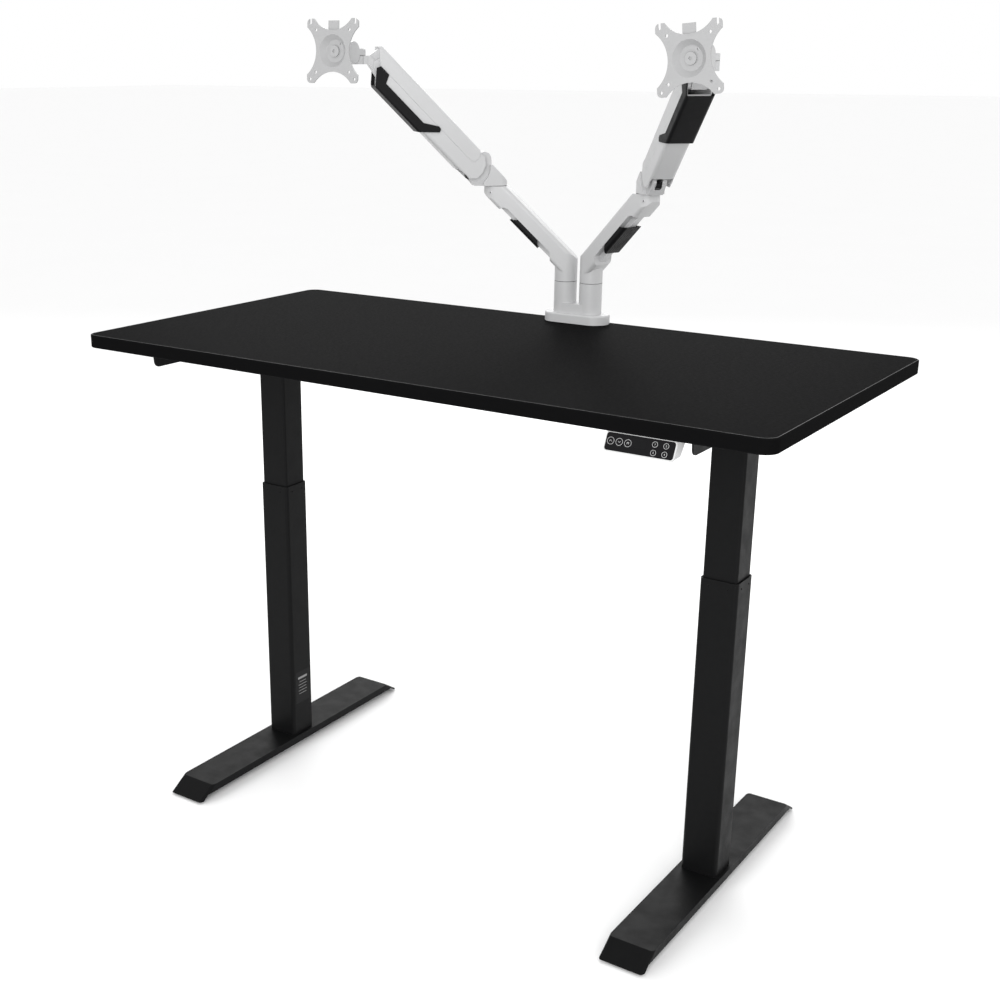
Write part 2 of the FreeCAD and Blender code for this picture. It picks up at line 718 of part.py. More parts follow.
def incline_frame(slope):
    """Placement of the incline's underside: X up the incline, Z out of the underside."""
    angle = math.degrees(math.atan(slope))
    start = Vector(DIMENSIONS["stem_radius"], 0, DIMENSIONS["bend_inner"])
    return Placement(start, Rotation(Vector(0, 1, 0), -angle))


def incline_recess(slope):
    """Cable recess in the incline's underside, open to both sides of a middle web."""
    deep, first, last = D["recess_deep"], D["recess_start"], D["recess_end"]
    scoop = prism([(first - 2, -2), (first, 0), (first + deep, deep), (last - 12, deep),
                   (last - 4, deep * 0.7), (last, 0), (last, -2)], 60)
    half = D["web_half"]
    web = box((0, -half, D["web_deep"]), (200, half * 2, 40))
    solid = cut(scoop, web)
    solid.Placement = incline_frame(slope)
    return solid


def lower_clip():
    """Black snap-in cover of the cable recess: a shallow channel with grooves along it."""
    slope = (DIMENSIONS["lower_rise"] - DIMENSIONS["bend_outer"]) / DIMENSIONS["lower_reach"]
    half, deep = D["stem_radius"] - 0.2, D["recess_deep"]
    first, last = D["clip_start"], D["clip_end"]
    outer = prism([(first, 0), (first + deep, deep), (last - deep, deep), (last, 0)], half * 2)
    outer = rounded(outer, lambda e: is_line_along(e, X_AXIS) and e.CenterOfMass.z < 1, 6.5)
    inner = box((first - 1, -half + 2.2, 2.2), (last - first + 2, half * 2 - 4.4, deep))
    grooves = [box((first - 1, across - 0.6, -1), (last - first + 2, 1.2, 1.7))
               for across in (-12, -6, 0, 6, 12)]
    clip = cut(outer, inner, *grooves)
    clip.Placement = incline_frame(slope)
    return group(clip)


# ---------------------------------------------------------------- elbow bracket

def elbow_bracket():
    """Turning bracket: boss over the elbow pin, wide back, and a forked tongue with three pins."""
    r, out, up = D["stem_radius"], D["elbow_out"], D["elbow_up"]
    gap = D["seam_gap"]
    wide = prism([(-r, gap), (30, gap), (30, 8), (22, 18), (17.5, 30), (17, 42), (12.5, 42),
                  (-r, 7)], r * 2 - 2)
    mask = fuse(box((0, -r, 0), (60, r * 2, 80)), cylinder(r, 80, (0, 0, 0)))
    wide = common(wide, mask)
    tongue = prism([(0, gap), (46, gap), (55, 11), (66, 25), (out + 8, up + 19),
                    (out - 6, up + 25), (36, up + 28), (33, 66), (27, 67), (19, 64.5),
                    (14, 57), (12.5, 42)], D["tongue_half"] * 2)
    tongue = rounded(tongue, lambda e: is_line_along(e, Y_AXIS) and e.CenterOfMass.z > 56
                     and e.CenterOfMass.x < 35, 4)
    slot = box((38, -D["slot_half"], 11), (60, D["slot_half"] * 2, 80))
    bore = cylinder(D["elbow_spigot"] + D["play"], D["elbow_pin_high"] + 1.5, (0, 0, 0))
    body = cut(fuse(wide, tongue), slot, bore)
    pins = [cross_pin(D["pin_radius"], 19, out, up),
            cross_pin(D["link_pin"], D["tongue_half"] - 0.5, out, up + D["link_up"]),
            cross_pin(D["rod_pin"], D["tongue_half"] - 0.5, out + D["spring_out"],
                      up - D["spring_down"])]
    return fuse(body, *pins)


def cross_pin(radius, half, out, up):
    """Pin across the arm, half its length to each side of the middle plane."""
    return cylinder(radius, half * 2, (out, -half, up), "y")


# ---------------------------------------------------------------- upper arm

def arm_channel():
    """Cast lower half of the upper arm: floor, two walls and the bosses of its pivots."""
    half, wall, line = D["arm_wide"] / 2, D["arm_wall"], D["part_line"]
    floor, long = D["channel_floor"], D["arm_long"]
    outline = [(13, line), (5.5, 15), (4.8, 24), (9, 32.5), (-2, 33), (-14, 23), (-20, 8),
               (-20, -6), (-9, -17.5), (12, -18.5), (21, -floor), (D["floor_end"], -floor),
               (D["arm_end"], line)]
    outer = prism(outline, half * 2)
    outer = rounded(outer, lambda e: is_line_along(e, X_AXIS) and e.CenterOfMass.z < -20, 7)
    hollow = box((-40, -half + wall, -floor + wall), (340, (half - wall) * 2, 80))
    front = box((-40, -half + wall, -floor - 1), (61, (half - wall) * 2, 20))
    bosses = []
    for way in (-1, 1):
        for out, up, radius in ((0, 0, 9), (long, 0, 9)):
            bosses.append(cut(
                wall_boss(way, out, up, radius, D["tongue_half"] + 0.4, half - wall),
                cross_pin(D["pin_radius"] + D["play"], 19.2, out, up)))
    shell = cut(outer, hollow, front,
                cross_pin(D["pin_radius"] + D["play"], 19.2, 0, 0))
    tail = cross_pin(D["link_pin"], half - wall + 0.5, D["spring_tail"], -D["spring_tail_down"])
    return fuse(shell, tail, *bosses)


def wall_boss(way, out, up, radius, inner, outer):
    """Round boss inside one wall, from inner to outer half widths."""
    low = inner if way > 0 else -outer
    return cylinder(radius, outer - inner, (out, low, up), "y")


def arm_cover():
    """Cover of the upper arm, open where the end bracket nests when the arm is lowered."""
    half, wall, line, top = D["arm_wide"] / 2, D["arm_wall"], D["part_line"] + 0.3, D["cover_top"]
    long = D["arm_long"]
    outline = [(13.4, line), (6, 15), (5.2, 24), (9.4, 32), (14.5, top), (289, top), (294, 31.5),
               (D["arm_end"] + 0.2, line)]
    outer = prism(outline, half * 2)
    outer = rounded(outer, lambda e: is_line_along(e, X_AXIS) and e.CenterOfMass.z > 36, 7)
    hollow = box((-10, -half + wall, 0), (340, (half - wall) * 2, top - wall))
    slot = box((long - 32, -5.5, 20), (90, 11, 30))
    nest = box((long - 4, -18.5, 20), (72, 37, 30))
    return cut(outer, hollow, slot, nest)


def spring_line(pitch):
    """Rest line of the gas spring in the arm's frame: eye, tail, direction and length."""
    turn = math.radians(pitch)
    out, down = DIMENSIONS["spring_out"], DIMENSIONS["spring_down"]
    eye = Vector(out * math.cos(turn) - down * math.sin(turn), 0,
                 -out * math.sin(turn) - down * math.cos(turn))
    tail = Vector(DIMENSIONS["spring_tail"], 0, -DIMENSIONS["spring_tail_down"])
    return eye, tail


def spring_place(pitch):
    """Placement with X from the tail towards the eye."""
    eye, tail = spring_line(pitch)
    return Placement(tail, Rotation(Vector(1, 0, 0), (eye - tail).normalize()))


def gas_cylinder():
    """Pressure tube of the gas spring, its tail hooked on the pin in the channel."""
    tube = cylinder(D["tube_radius"], 104, (8, 0, 0), "x")
    bore = cylinder(D["tube_bore"], 96, (14, 0, 0), "x")
    mouth = cylinder(D["rod_radius"] + D["thread_play"], 10, (106, 0, 0), "x")
    tail = fuse(box((-2, -5, -6), (14, 10, 12)), cylinder(6, 10, (0, -5, 0), "y"))
    hole = cylinder(D["link_pin"] + D["play"], 14, (0, -7, 0), "y")
    return cut(fuse(tube, tail), bore, mouth, hole)


def gas_rod(pitch):
    """Piston rod with its slotted eye round the lower pin of the elbow bracket."""
    eye, tail = spring_line(pitch)
    reach = (eye - tail).Length
    rod = cylinder(D["rod_radius"], reach - 5 - 82, (82, 0, 0), "x")
    piston = cylinder(D["tube_bore"] - 0.1, 8, (82, 0, 0), "x")
    ring = cylinder(D["rod_eye"], 10, (reach, -5, 0), "y")
    hole = cylinder(D["rod_eye_bore"], 14, (reach, -7, 0), "y")
    return cut(fuse(rod, piston, ring), hole)


def levelling_link():
    """Second bar of the parallelogram, an eye at each end."""
    long = D["arm_long"]
    bar = box((0, -4, -3), (long, 8, 6))
    eyes = [cylinder(6, 10, (x, -5, 0), "y") for x in (0, long)]
    holes = [cylinder(D["link_pin"] + D["play"], 14, (x, -7, 0), "y") for x in (0, long)]
    return cut(fuse(bar, *eyes), *holes)


def cable_clip():
    """Black clip under the head end of the arm, held by two hooked ears a side."""
    half = D["arm_wide"] / 2 + D["clip_gap"]
    wall, drop = D["clip_wall"], D["clip_drop"]
    outline = [(129, -drop), (247, -drop), (252, -23), (271, 0), (267, 8), (245, 8), (238, -8),
               (134, -8), (107, 9), (101, 8), (98, 2)]
    outer = prism(outline, (half + wall) * 2)
    outer = rounded(outer, lambda e: is_line_along(e, X_AXIS) and e.CenterOfMass.z < -27, 6)
    inner = box((80, -half, -drop + wall), (220, half * 2, 60))
    return cut(outer, inner)


# ---------------------------------------------------------------- head

def end_bracket():
    """Bracket that stays upright at the arm's tip and carries the head's vertical pin."""
    out, up, r = D["tip_out"], D["tip_up"], D["tip_radius"]
    low = up - D["tip_below"]
    block = prism([(-9, -9), (7, -9), (17.6, 7.3), (27.5, low), (38, low), (38, up), (25, up),
                   (16, 27), (5, 32.5), (-7, 14)], 28)
    rib = prism([(0, 24.2), (16, 26.5), (28, up - 3), (28, up), (24.7, up), (8, 49), (5.3, 49)], 9)
    boss = cylinder(r, D["tip_below"], (out, 0, low))
    pin = cylinder(D["tip_spigot"], D["tip_pin_high"], (out, 0, up))
    slot = prism([(8.5, 8.8), (8.5, 24), (-16, 24), (-16, -5), (-9, 1.5), (-3, 7.6), (0, 8.8)],
                 D["slot_half"] * 2)
    neck_sides = [box((18, low_y, 0), (14, 4, 60)) for low_y in (-15, 11)]
    body = fuse(cut(block, slot, *neck_sides), rib, boss, pin)
    return fuse(body, cross_pin(D["pin_radius"], 19, 0, 0),
                cross_pin(D["link_pin"], 13.5, 0, D["link_up"]))


def head_bracket():
    """Swivelling fork: a boss on the vertical pin and two round ears with the tilt pin."""
    r, out, up = D["tip_radius"], D["tilt_out"], D["tilt_up"]
    gap, top = D["seam_gap"], D["tip_above"]
    boss = cylinder(r, top - gap, (0, 0, gap))
    boss = rounded(boss, lambda e: e.BoundBox.ZLength < 0.01 and e.CenterOfMass.z > 10, 2)
    ears = []
    for way in (-1, 1):
        low = D["ear_inner"] if way > 0 else -D["ear_outer"]
        thick = D["ear_outer"] - D["ear_inner"]
        ear = fuse(cylinder(D["ear_radius"], thick, (out, low, up), "y"),
                   box((2, low, gap), (out - 2, thick, top - gap)))
        ears.append(ear)
    tilt_pin = cylinder(D["tilt_pin"], D["ear_outer"] * 2, (out, -D["ear_outer"], up), "y")
    bore = cylinder(D["tip_spigot"] + D["play"], D["tip_pin_high"] + 0.6, (0, 0, 0))
    return fuse(cut(fuse(boss, *ears), bore), tilt_pin)


def tilt_block():
    """Block between the ears: it tilts on their pin and carries the screen plate."""
    face = D["plate_out"] - D["dish_deep"] - 2.7
    half = D["ear_inner"] - 0.3
    drum = cylinder(16, half * 2, (0, -half, 0), "y")
    neck = box((0, -half, -12), (face - 4, half * 2, 24))
    disc = cylinder(18, 6, (face - 6, 0, 0), "x")
    hole = cylinder(D["tilt_pin"] + D["play"], 40, (0, -20, 0), "y")
    thread = cylinder(4.05, 14, (face - 13, 0, 0), "x")
    return cut(fuse(drum, neck, disc), hole, thread)


def screen_plate():
    """Screen mounting plate: an X outline, a dish round the hub and two square hole patterns."""
    out, steel, size = D["plate_out"], D["plate_sheet"], D["plate_size"]
    back = out - steel
    sheet_block = box((back, -size / 2, -size / 2), (steel, size, size))
    sheet_block = rounded(sheet_block, lambda e: is_line_along(e, X_AXIS), 8)
    waist, corner = DIMENSIONS["plate_waist"], DIMENSIONS["plate_size"] / 2
    notch = 42
    bow = ((corner - waist) ** 2 + notch ** 2) / (2 * (corner - waist))
    scoops = []
    for turn in range(4):
        angle = math.radians(90 * turn)
        spot = ((waist + bow) * math.cos(angle), (waist + bow) * math.sin(angle))
        scoops.append(cylinder(bow, steel + 2, (back - 1, spot[0], spot[1]), "x"))
    cross = cut(sheet_block, *scoops)
    deep, rim, floor = D["dish_deep"], D["dish_radius"], D["dish_floor"]
    dish = cone(floor + 2, rim + 2, deep + 0.2, (back - deep + 0.5, 0, 0), "x")
    tab = box((back - 2.5, -11.5, 28), (2.5, 23, 26))
    hollow = cone(floor, rim, deep, (out - deep + 0.01, 0, 0), "x")
    holes = []
    for pitch, ways in ((D["vesa_small"], (-1, 1)), (D["vesa_large"], (-1,))):
        for way_z in ways:
            for way_y in (-1, 1):
                holes.append(cylinder(D["vesa_hole"], steel + 2,
                                      (back - 1, way_y * pitch / 2, way_z * pitch / 2), "x"))
    half = D["vesa_large"] / 2
    for way_y in (-1, 1):
        holes.append(cylinder(D["vesa_hole"], steel + 2, (back - 1, way_y * half, half), "x"))
        holes.append(box((back - 1, way_y * half - D["vesa_hole"], half),
                         (steel + 2, D["vesa_hole"] * 2, 20)))
    holes.append(cylinder(D["hub_shoulder"] + D["play"], 20, (back - deep - 2, 0, 0), "x"))
    holes.append(cylinder(1.7, 20, (back - deep - 2, 12, 13), "x"))
    return cut(fuse(cross, dish, tab), hollow, *holes)


def hub_screw():
    """Shoulder screw on which the plate turns."""
    floor = D["plate_out"] - D["dish_deep"]
    head = cylinder(D["hub_radius"], 4, (floor + 0.05, 0, 0), "x")
    head = rounded(head, lambda e: e.CenterOfMass.x > 43 and e.BoundBox.XLength < 0.01, 1)
    shoulder = cylinder(D["hub_shoulder"], 2.7, (floor - 2.65, 0, 0), "x")
    thread = cylinder(4, 14.5, (floor - 15, 0, 0), "x")
    drive = Part.makePolygon([Vector(0, 3.4 * math.cos(math.radians(60 * k)),
                                     3.4 * math.sin(math.radians(60 * k))) for k in range(7)])
    key = doc.addObject("Part::Feature", "HexKey")
    key.Shape = Part.Face(drive).extrude(Vector(3, 0, 0))
    key.Placement = Placement(Vector(number(floor) + 2, 0, 0), Rotation())
    return cut(fuse(head, shoulder, thread), key)


# ---------------------------------------------------------------- where each arm piece sits

def turn_z(degrees):
    return Rotation(Z_AXIS, degrees)


def arm_frames(pose):
    """Placements of an arm's sub-assemblies at rest, from the post to the screen plate."""
    dims = DIMENSIONS
    post = Vector(dims["base_across"] + pose["post"] * dims["post_apart"] / 2,
                  dims["base_back"], dims["top_height"] + dims["stem_top"])
    lower = Placement(post, turn_z(pose["lower"]))
    elbow_at = lower.multVec(Vector(dims["lower_reach"], 0, dims["lower_rise"]))
    elbow = Placement(elbow_at, turn_z(pose["upper"]))
    tilt_up = Rotation(Y_AXIS, -pose["pitch"])
    arm = elbow * Placement(Vector(dims["elbow_out"], 0, dims["elbow_up"]), tilt_up)
    link = elbow * Placement(
        Vector(dims["elbow_out"], 0, dims["elbow_up"] + dims["link_up"]), tilt_up)
    tip_at = arm.multVec(Vector(dims["arm_long"], 0, 0))
    tip = Placement(tip_at, turn_z(pose["upper"]))
    head_at = tip.multVec(Vector(dims["tip_out"], 0, dims["tip_up"]))
    head = Placement(head_at, turn_z(pose["face"]))
    tilt = head * Placement(Vector(dims["tilt_out"], 0, dims["tilt_up"]),
                            Rotation(Y_AXIS, pose["tilt"]))
    plate = tilt * Placement(Vector(), Rotation(X_AXIS, pose["roll"]))
    return {"lower": lower, "elbow": elbow, "arm": arm, "link": link, "tip": tip, "head": head,
            "tilt": tilt, "plate": plate}


def build_arm(side, pose):
    """All the nodes of one arm."""
    at = arm_frames(pose)
    spring = at["arm"] * spring_place(pose["pitch"])
    made = (
        ("lower_arm", lower_arm(), at["lower"]),
        ("lower_clip", lower_clip(), at["lower"]),
        ("elbow_bracket", elbow_bracket(), at["elbow"]),
        ("arm_channel", arm_channel(), at["arm"]),
        ("arm_cover", arm_cover(), at["arm"]),
        ("gas_cylinder", gas_cylinder(), spring),
        ("gas_rod", gas_rod(pose["pitch"]), spring),
        ("levelling_link", levelling_link(), at["link"]),
        ("cable_clip", cable_clip(), at["arm"]),
        ("end_bracket", end_bracket(), at["tip"]),
        ("head_bracket", head_bracket(), at["head"]),
        ("tilt_block", tilt_block(), at["tilt"]),
        ("hub_screw", hub_screw(), at["tilt"]),
        ("screen_plate", screen_plate(), at["plate"]),
    )
    for name, obj, placement in made:
        node(f"{side}_{name}", obj, placement)


def build_legs():
    for name, side in SIDES:
        shape, placement = foot(side)
        node(f"{name}_foot", shape, placement)
        node(f"{name}_outer_column", outer_column(), leg_place(side))
        node(f"{name}_inner_column", inner_column(), leg_place(side))
        node(f"{name}_spindle", spindle(), leg_place(side))
        node(f"{name}_motor_housing", motor_housing(side), leg_place(side))
        node(f"{name}_drive_unit", drive_unit(), leg_place(side))
        outside = side * (DIMENSIONS["leg_across"] + DIMENSIONS["housing_wide"] / 2)
        near = outside if side > 0 else outside - DIMENSIONS["bracket_sheet"]
        node(f"{name}_side_bracket", side_bracket(side),
             Placement(Vector(near, DIMENSIONS["leg_back"], 0), Rotation()))
    node("column_guides", column_guides())
    node("nut_posts", nut_posts())
    node("spindle_nuts", spindle_nuts())
    node("foot_screws", foot_screws())
    node("levelling_glides", levelling_glides())


def build_top():
    node("desktop", desktop())
    node("cross_rails", cross_rails())
    node("control_box", control_box())
    node("keypad_housing", keypad_housing())
    node("keypad_panel", keypad_panel())
    node("frame_screws", frame_screws())
    base_place = Placement(Vector(DIMENSIONS["base_across"], DIMENSIONS["base_back"],
                                  DIMENSIONS["top_height"]), Rotation())
    node("arm_base", arm_base(), base_place)
    node("clamp_bracket", clamp_bracket(), base_place)
    node("clamp_pad", clamp_pad(), base_place)
    node("clamp_screw", clamp_screw(), base_place)


def check_document():
    """Stops if any object failed or any sub-part is empty or invalid."""
    for obj in doc.Objects:
        bad = [state for state in obj.State if state in ("Invalid", "Error")]
        if bad:
            raise RuntimeError(f"{obj.Name} ({obj.Label}) is {bad}")
    for name, obj in nodes.items():
        if obj.Shape.isNull() or not obj.Shape.isValid() or not obj.Shape.Solids:
            raise RuntimeError(f"{name} has no valid solid")


def main():
    build_legs()
    build_top()
    for side, pose in ARMS.items():
        build_arm(side, pose)
    doc.recompute()
    check_document()
    os.makedirs("parts", exist_ok=True)
    for name, obj in nodes.items():
        obj.Shape.exportStep(os.path.join("parts", f"{name}.step"))
        print(f"{name}: {len(obj.Shape.Solids)} solid(s), {obj.Shape.Volume / 1000:.1f} cm3")


main()
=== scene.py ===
import json
import math

import bmesh
import bpy
from mathutils import Matrix, Vector


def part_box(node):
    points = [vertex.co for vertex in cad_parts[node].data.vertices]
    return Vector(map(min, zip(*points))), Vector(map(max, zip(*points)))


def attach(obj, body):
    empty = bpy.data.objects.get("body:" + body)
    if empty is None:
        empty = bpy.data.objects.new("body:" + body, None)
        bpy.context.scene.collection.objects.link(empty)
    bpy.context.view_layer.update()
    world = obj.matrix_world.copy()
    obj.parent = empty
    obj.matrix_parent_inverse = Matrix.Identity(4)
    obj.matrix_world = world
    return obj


# The look of a height adjustable standing desk with a two-arm gas spring screen mount.
# Metres throughout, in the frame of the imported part: +Z up, +X to the user's right, +Y back.

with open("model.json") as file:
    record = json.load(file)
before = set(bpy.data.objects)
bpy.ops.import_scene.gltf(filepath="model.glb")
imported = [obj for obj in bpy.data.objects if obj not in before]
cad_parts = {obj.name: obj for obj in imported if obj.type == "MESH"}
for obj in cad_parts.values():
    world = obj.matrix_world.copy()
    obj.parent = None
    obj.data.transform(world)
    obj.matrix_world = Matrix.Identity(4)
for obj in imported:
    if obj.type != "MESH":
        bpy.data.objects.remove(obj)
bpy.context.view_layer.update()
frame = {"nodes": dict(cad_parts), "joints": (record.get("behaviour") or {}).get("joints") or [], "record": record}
JOINTS = {joint["name"]: joint for joint in frame["joints"]}
SIDES = ("left", "right")

# Measures taken from the CAD model, and the camera.
STEM_RADIUS = 0.023
TOP_CORNER = 0.025
KEYPAD_LEAN = math.radians(24.4)
CAMERA_AT = (1.397, -2.208, 1.464)
CAMERA_DOWN = 0.324
CAMERA_TURN = 0.611


# ---------------------------------------------------------------- materials

class Surface:
    """A procedural material: a Principled shader with noise driven colour, gloss and bump."""

    def __init__(self, name, colour, rough, metallic=0.0, coat=0.0, specular=0.5):
        self.material = bpy.data.materials.new(name)
        self.material.use_nodes = True
        self.tree = self.material.node_tree
        self.shader = self.tree.nodes["Principled BSDF"]
        self.set("Base Color", (*colour, 1.0))
        self.set("Roughness", rough)
        self.set("Metallic", metallic)
        self.set("Coat Weight", coat)
        self.set("Coat Roughness", 0.08)
        self.set("Specular IOR Level", specular)
        self.colour = colour
        self.height = None
        self.coords = self.new("ShaderNodeTexCoord").outputs["Object"]
        self.material.diffuse_color = (*colour, 1.0)

    def set(self, socket, value):
        self.shader.inputs[socket].default_value = value

    def new(self, kind, **settings):
        made = self.tree.nodes.new(kind)
        for key, value in settings.items():
            setattr(made, key, value)
        return made

    def join(self, output, socket):
        self.tree.links.new(output, socket)

    def stretched(self, stretch):
        """Object coordinates scaled per axis, which draws a grain out along an axis."""
        mapping = self.new("ShaderNodeMapping")
        mapping.inputs["Scale"].default_value = stretch
        self.join(self.coords, mapping.inputs["Vector"])
        return mapping.outputs["Vector"]

    def noise(self, scale, detail=3.0, rough=0.55, stretch=None):
        made = self.new("ShaderNodeTexNoise")
        made.inputs["Scale"].default_value = scale
        made.inputs["Detail"].default_value = detail
        made.inputs["Roughness"].default_value = rough
        self.join(self.stretched(stretch) if stretch else self.coords, made.inputs["Vector"])
        return made.outputs["Fac"]

    def cells(self, scale):
        made = self.new("ShaderNodeTexVoronoi", feature="SMOOTH_F1")
        made.inputs["Scale"].default_value = scale
        self.join(self.coords, made.inputs["Vector"])
        return made.outputs["Distance"]

    def spread(self, value, low, high, start=0.3, end=0.7):
        made = self.new("ShaderNodeMapRange")
        for key, number in (("From Min", start), ("From Max", end), ("To Min", low),
                            ("To Max", high)):
            made.inputs[key].default_value = number
        self.join(value, made.inputs["Value"])
        return made.outputs["Result"]

    def tint(self, value, amount):
        """Varies the base colour between a darker and a lighter shade of it."""
        lighter = tuple(min(1.0, c * (1 + amount)) for c in self.colour)
        mix = self.new("ShaderNodeMix", data_type="RGBA")
        mix.inputs[6].default_value = (*(c * (1 - amount * 0.5) for c in self.colour), 1.0)
        mix.inputs[7].default_value = (*lighter, 1.0)
        self.join(value, mix.inputs[0])
        self.join(mix.outputs[2], self.shader.inputs["Base Color"])
        return self

    def worn(self, amount, radius=0.0012):
        """Lightens the edges, where a bevelled normal leaves the true one: partly rubbed wear, partly a painted
        highlight along the edges.
        """
        soft = self.new("ShaderNodeBevel", samples=4)
        soft.inputs["Radius"].default_value = radius
        true = self.new("ShaderNodeNewGeometry").outputs["True Normal"]
        dot = self.new("ShaderNodeVectorMath", operation="DOT_PRODUCT")
        self.join(soft.outputs["Normal"], dot.inputs[0])
        self.join(true, dot.inputs[1])
        edge = self.spread(dot.outputs["Value"], 1.0, 0.0, 0.72, 0.98)
        speckle = self.spread(self.noise(260, 4), 0.55, 1.0)
        gate = self.new("ShaderNodeMath", operation="MULTIPLY")
        self.join(edge, gate.inputs[0])
        self.join(speckle, gate.inputs[1])
        mix = self.new("ShaderNodeMix", data_type="RGBA")
        self.join(gate.outputs[0], mix.inputs[0])
        source = self.shader.inputs["Base Color"]
        if source.is_linked:
            self.join(source.links[0].from_socket, mix.inputs[6])
        else:
            mix.inputs[6].default_value = source.default_value
        # Edge colour: the base colour lifted by amount, for rubbed wear and painted highlight.
        mix.inputs[7].default_value = (*(min(1.0, c + amount) for c in self.colour), 1.0)
        self.join(mix.outputs[2], source)
        return self

    def gloss(self, value, low, high):
        self.join(self.spread(value, low, high), self.shader.inputs["Roughness"])
        return self

    def bump(self, value, distance, strength=1.0):
        made = self.new("ShaderNodeBump")
        made.inputs["Distance"].default_value = distance
        made.inputs["Strength"].default_value = strength
        self.join(value, made.inputs["Height"])
        if self.height is not None:
            self.join(self.height, made.inputs["Normal"])
        self.height = made.outputs["Normal"]
        self.join(self.height, self.shader.inputs["Normal"])
        return self


def powder_coat():
    """Black powder coat: fine orange peel, slightly uneven gloss, edges lightened as rubbed wear and as a painted
    highlight.
    """
    s = Surface("powder_black", (0.0055, 0.0056, 0.0058), 0.42, specular=0.065)
    return (s.tint(s.noise(90, 5), 0.22).worn(0.02).gloss(s.noise(30, 4), 0.36, 0.5)
            .bump(s.cells(1100), 0.00012, 0.5).bump(s.noise(2600, 2), 0.00004, 0.5).material)


def laminate():
    """Black desk laminate: fine pebble grain with sparse, faintly lighter pores."""
    s = Surface("top_black", (0.0042, 0.0042, 0.0044), 0.5, specular=0.002)
    grain = s.noise(420, 6, 0.62, (0.35, 1.0, 1.0))
    # The lightened edges here are mostly a painted highlight along the top's edge, with a little rubbed wear.
    return (s.tint(s.noise(160, 6, 0.6, (0.3, 1.0, 1.0)), 0.2).worn(0.16, 0.0018)
            .gloss(grain, 0.42, 0.58).bump(s.cells(900), 0.00016, 0.5)
            .bump(grain, 0.00008, 0.6).material)


def lacquer(name, colour):
    """Satin grey lacquer on castings and pressed plates."""
    s = Surface(name, colour, 0.4, coat=0.05)
    # The lightened edges are partly rubbed wear, partly a painted highlight along the edges of the castings and
    # plates.
    return (s.tint(s.noise(14, 4), 0.035).worn(0.12, 0.0009).gloss(s.noise(40, 4), 0.34, 0.47)
            .bump(s.cells(1500), 0.00006, 0.4).bump(s.noise(3200, 2), 0.00003, 0.5).material)


def moulded(name, colour, low, high, grain, depth, mottle=0.15, specular=0.4):
    """Moulded plastic with an eroded grain."""
    s = Surface(name, colour, (low + high) / 2, specular=specular)
    return (s.tint(s.noise(120, 4), mottle).gloss(s.noise(60, 4), low, high)
            .bump(s.cells(grain), depth, 0.5).bump(s.noise(grain * 2, 3), depth * 0.5, 0.5)
            .material)


def plated(name, colour, along, rough):
    """Plated or turned steel, brushed along one axis."""
    s = Surface(name, colour, rough, metallic=1.0)
    stretch = tuple(0.05 if i == along else 1.0 for i in range(3))
    return (s.tint(s.noise(200, 5, 0.6), 0.12).gloss(s.noise(500, 3, 0.5, stretch), rough - 0.08,
                                                     rough + 0.1)
            .bump(s.noise(1800, 3, 0.6, stretch), 0.00003, 0.6).material)


def glossy_panel():
    """Touch panel: a clear-coated black sheet with faint fine scratches."""
    s = Surface("panel_black", (0.004, 0.004, 0.0045), 0.16, coat=0.04, specular=0.12)
    return (s.tint(s.noise(80, 3), 0.2).gloss(s.noise(900, 4, 0.6, (0.05, 1, 1)), 0.1, 0.2)
            .bump(s.noise(300, 2), 0.00001, 0.4).material)


def floor_surface():
    s = Surface("studio_floor", (0.96, 0.96, 0.96), 0.9, specular=0.1)
    return s.tint(s.noise(1.5, 2), 0.01).bump(s.noise(40, 3), 0.0002, 0.2).material


MATERIALS = {
    "powder_black": powder_coat(),
    "top_black": laminate(),
    "arm_grey": lacquer("arm_grey", (0.52, 0.522, 0.526)),
    "plastic_black": moulded("plastic_black", (0.0075, 0.0075, 0.008), 0.42, 0.56, 1700, 0.00012,
                             specular=0.12),
    "panel_black": glossy_panel(),
    "plastic_white": moulded("plastic_white", (0.58, 0.58, 0.58), 0.35, 0.45, 2200, 0.00005, 0.03),
    "steel": plated("steel", (0.56, 0.56, 0.57), 2, 0.34),
    "nylon": moulded("nylon", (0.72, 0.71, 0.67), 0.35, 0.5, 1800, 0.00005, 0.05),
    "motor_grey": moulded("motor_grey", (0.06, 0.062, 0.066), 0.35, 0.5, 1300, 0.0001, 0.15),
    "rubber": moulded("rubber", (0.02, 0.02, 0.02), 0.7, 0.85, 900, 0.0002, 0.2),
}
WHITE_PRINT = moulded("white_print", (0.5, 0.5, 0.5), 0.4, 0.5, 2600, 0.00002, 0.05)
GREY_PRINT = moulded("grey_print", (0.22, 0.22, 0.22), 0.4, 0.5, 2600, 0.00002, 0.05)
# Colour of the thin strip round the top: a painted highlight along the top's edge.
PAINTED_EDGE_HIGHLIGHT = moulded("painted_edge_highlight", (0.1, 0.1, 0.1), 0.5, 0.6, 1200, 0.00005, 0.2, 0.1)
# Black of the washers, and of the set screws' sockets, where it is painted shade for the socket's hollow.
WASHER_AND_SHADE_BLACK = moulded("washer_and_shade_black", (0.004, 0.004, 0.004), 0.55, 0.7, 1500, 0.0001, 0.15, 0.05)
LABEL = moulded("label_black", (0.006, 0.006, 0.0065), 0.3, 0.4, 2000, 0.00002, 0.1, 0.1)
# A darker copy of the arm lacquer: painted shade on the screen plates and hub screws.
SHADED_ARM_GREY = lacquer("arm_grey_painted_shade", (0.37, 0.371, 0.374))
PAINTED_SHADE_NODES = ("screen_plate", "hub_screw")
SLOT_OF = {part["node"]: part["material_slot"] for part in frame["record"]["subparts"]}


